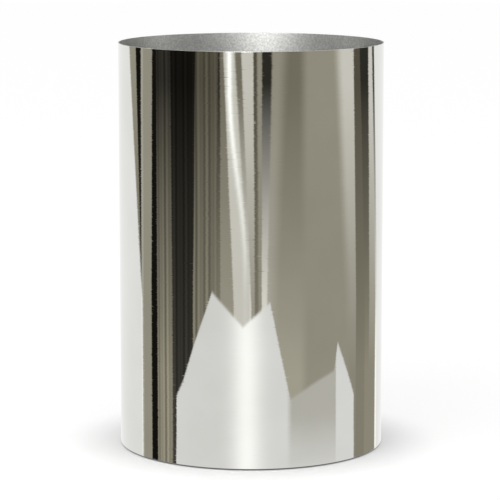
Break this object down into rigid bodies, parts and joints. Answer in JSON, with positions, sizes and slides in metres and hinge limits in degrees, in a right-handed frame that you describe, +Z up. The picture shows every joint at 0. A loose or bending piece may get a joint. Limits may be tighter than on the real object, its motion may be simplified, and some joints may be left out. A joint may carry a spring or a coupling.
{
  "type": "par can light",
  "caption": "Stage uplight: a mirror-polished steel can that lifts off a tilting lens lamp head with a finned heat sink, a battery base and a rear control panel.",
  "frame": {"origin": "centre of the can's footprint, on the floor", "axes": "+Z up along the can's axis, -Y the front, +Y the side with the controls, +X along the head's tilt axis"},
  "size_m": [0.203, 0.203, 0.3112],
  "materials": {
    "anodised_silver": "clear-anodised aluminium",
    "battery_wrap": "blue shrink wrap over cells",
    "black_lead": "black extruded sheath",
    "black_plastic": "moulded black plastic",
    "black_powder_coat": "fine-texture black powder coat",
    "black_rubber": "matt moulded black rubber",
    "circuit_board": "green solder mask on glass-fibre board",
    "clear_acrylic": "clear moulded acrylic",
    "clear_glass": "clear toughened glass",
    "die_cast_black": "black enamel on a die casting",
    "grey_silicone": "grey silicone",
    "magnet_nickel": "nickel plate on sintered magnet",
    "mirror_steel": "mirror-polished stainless steel",
    "nickel": "nickel plate on brass",
    "satin_steel": "satin sheet steel",
    "smoked_window": "smoked acrylic",
    "white_board": "white solder mask on aluminium-core board",
    "zinc_steel": "bright zinc plate on steel"
  },
  "bodies": {
    "base": {"arm_screw_1": "zinc_steel", "arm_screw_2": "zinc_steel", "arm_screw_3": "zinc_steel", "arm_screw_4": "zinc_steel", "base_pan": "black_powder_coat", "battery_bridge": "satin_steel", "battery_lead": "black_lead", "battery_pack": "battery_wrap", "bridge_screw_1": "zinc_steel", "bridge_screw_2": "zinc_steel", "catch_magnet_1": "magnet_nickel", "catch_magnet_2": "magnet_nickel", "catch_magnet_3": "magnet_nickel", "charge_jack": "nickel", "control_board": "circuit_board", "control_lead": "black_lead", "control_panel": "black_plastic", "display_window": "smoked_window", "driver_board": "circuit_board", "foot_1": "black_rubber", "foot_2": "black_rubber", "foot_3": "black_rubber", "foot_4": "black_rubber", "foot_screw_1": "zinc_steel", "foot_screw_2": "zinc_steel", "foot_screw_3": "zinc_steel", "foot_screw_4": "zinc_steel", "lamp_lead": "black_lead", "rocker_frame": "black_plastic", "standoff_1": "nickel", "standoff_2": "nickel", "standoff_3": "nickel", "standoff_4": "nickel", "tilt_arm_left": "black_powder_coat", "tilt_arm_right": "black_powder_coat"},
    "can": {"polished_can": "mirror_steel", "cutout_trim": "black_rubber", "rest_bracket_1": "zinc_steel", "rest_bracket_2": "zinc_steel", "rest_bracket_3": "zinc_steel"},
    "head": {"lamp_housing": "die_cast_black", "heat_sink": "anodised_silver", "led_board": "white_board", "lens_array": "clear_acrylic", "front_glass": "clear_glass", "glass_gasket": "grey_silicone", "bezel_ring": "anodised_silver", "bezel_screw_1": "zinc_steel", "bezel_screw_2": "zinc_steel", "bezel_screw_3": "zinc_steel", "lead_gland": "black_plastic", "friction_washer_left": "black_rubber", "friction_washer_right": "black_rubber"},
    "knob_left": {"tilt_knob_left": "black_plastic"},
    "knob_right": {"tilt_knob_right": "black_plastic"},
    "rocker": {"power_rocker": "black_plastic"},
    "button_1": {"menu_button_1": "black_rubber"},
    "button_2": {"menu_button_2": "black_rubber"},
    "button_3": {"menu_button_3": "black_rubber"},
    "button_4": {"menu_button_4": "black_rubber"}
  },
  "joints": [
    {"name": "can_lift", "type": "slide", "parent": "base", "child": "can", "axis": [0, 0, 1], "range_m": [0, 0.3]},
    {"name": "head_tilt", "type": "hinge", "parent": "base", "child": "head", "pos_m": [0, 0, 0.2255], "axis": [1, 0, 0], "range_deg": [-30, 30], "deforming": ["lamp_lead"]},
    {"name": "knob_left_turn", "type": "hinge", "parent": "head", "child": "knob_left", "pos_m": [-0.088, 0, 0.2255], "axis": [-1, 0, 0], "range_deg": [0, 180]},
    {"name": "knob_right_turn", "type": "hinge", "parent": "head", "child": "knob_right", "pos_m": [0.088, 0, 0.2255], "axis": [1, 0, 0], "range_deg": [0, 180]},
    {"name": "power_rocker_tip", "type": "hinge", "parent": "base", "child": "rocker", "pos_m": [-0.0095, 0.08661, 0.029], "axis": [1, 0, 0], "range_deg": [-20, 0]},
    {"name": "button_1_press", "type": "slide", "parent": "base", "child": "button_1", "axis": [0, -1, 0], "range_m": [0, 0.001], "stiffness_N_per_m": 800, "springref_m": -0.0005},
    {"name": "button_2_press", "type": "slide", "parent": "base", "child": "button_2", "axis": [0, -1, 0], "range_m": [0, 0.001], "stiffness_N_per_m": 800, "springref_m": -0.0005},
    {"name": "button_3_press", "type": "slide", "parent": "base", "child": "button_3", "axis": [0, -1, 0], "range_m": [0, 0.001], "stiffness_N_per_m": 800, "springref_m": -0.0005},
    {"name": "button_4_press", "type": "slide", "parent": "base", "child": "button_4", "axis": [0, -1, 0], "range_m": [0, 0.001], "stiffness_N_per_m": 800, "springref_m": -0.0005}
  ]
}
